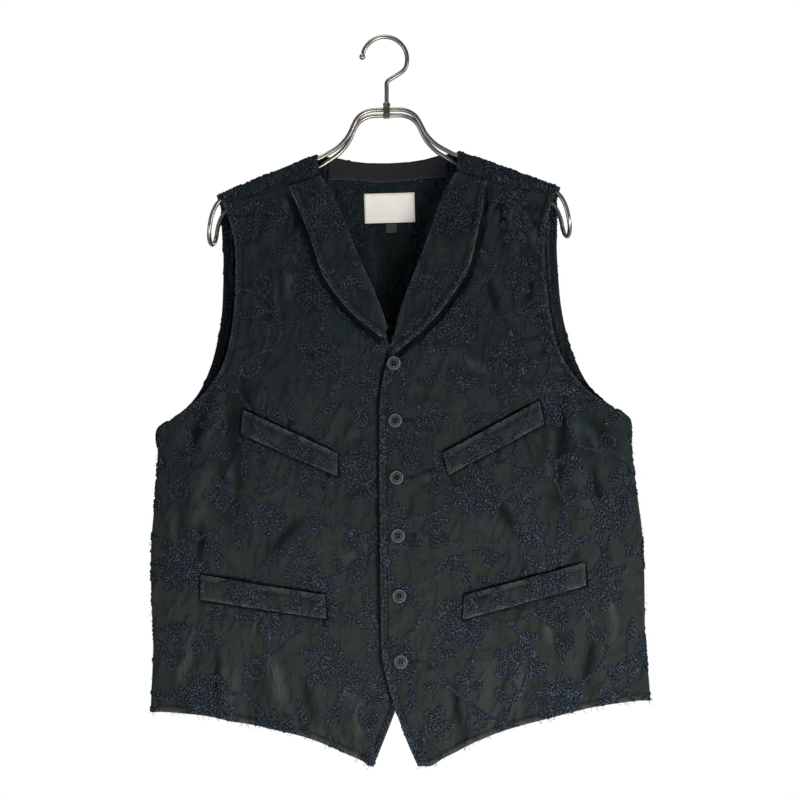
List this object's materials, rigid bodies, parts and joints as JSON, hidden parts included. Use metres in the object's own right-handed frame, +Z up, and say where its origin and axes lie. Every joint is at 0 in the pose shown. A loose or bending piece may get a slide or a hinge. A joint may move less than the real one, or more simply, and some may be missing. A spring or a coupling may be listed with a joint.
{
  "type": "embroidered waistcoat on a wire hanger",
  "caption": "Sleeveless buttoned waistcoat with narrow lapels, welt pockets and scrolling chain-stitch embroidery, hanging open-necked on a two-wire steel hanger with a hook.",
  "frame": {"origin": "the point where a rail touches the inside of the top of the hanger's hook", "axes": "+Z up, -Y out of the front of the garment, +X towards the wearer's left"},
  "size_m": [0.5487, 0.0871, 0.7973],
  "materials": {
    "cloth": "washed black cotton twill with dark navy chain-stitch embroidery",
    "facing": "smooth dark lining twill",
    "label": "white woven label, bare",
    "tab": "dark grey woven tab, bare",
    "button": "semi-gloss dark grey polyester",
    "hanger": "gunmetal plated steel wire"
  },
  "bodies": {
    "root": {"front_left": "cloth", "front_right": "cloth", "back": "cloth", "lapel_left": "cloth", "lapel_right": "cloth", "welt_chest_left": "cloth", "welt_chest_right": "cloth", "welt_hip_left": "cloth", "welt_hip_right": "cloth", "neck_facing": "facing", "armhole_facing_left": "facing", "armhole_facing_right": "facing", "label": "label", "size_tab": "tab", "button_1": "button", "button_2": "button", "button_3": "button", "button_4": "button", "button_5": "button", "button_6": "button", "hanger_hook": "hanger", "hanger_hook_tip": "hanger", "hanger_clip": "hanger", "hanger_frame": "hanger"}
  },
  "joints": []
}
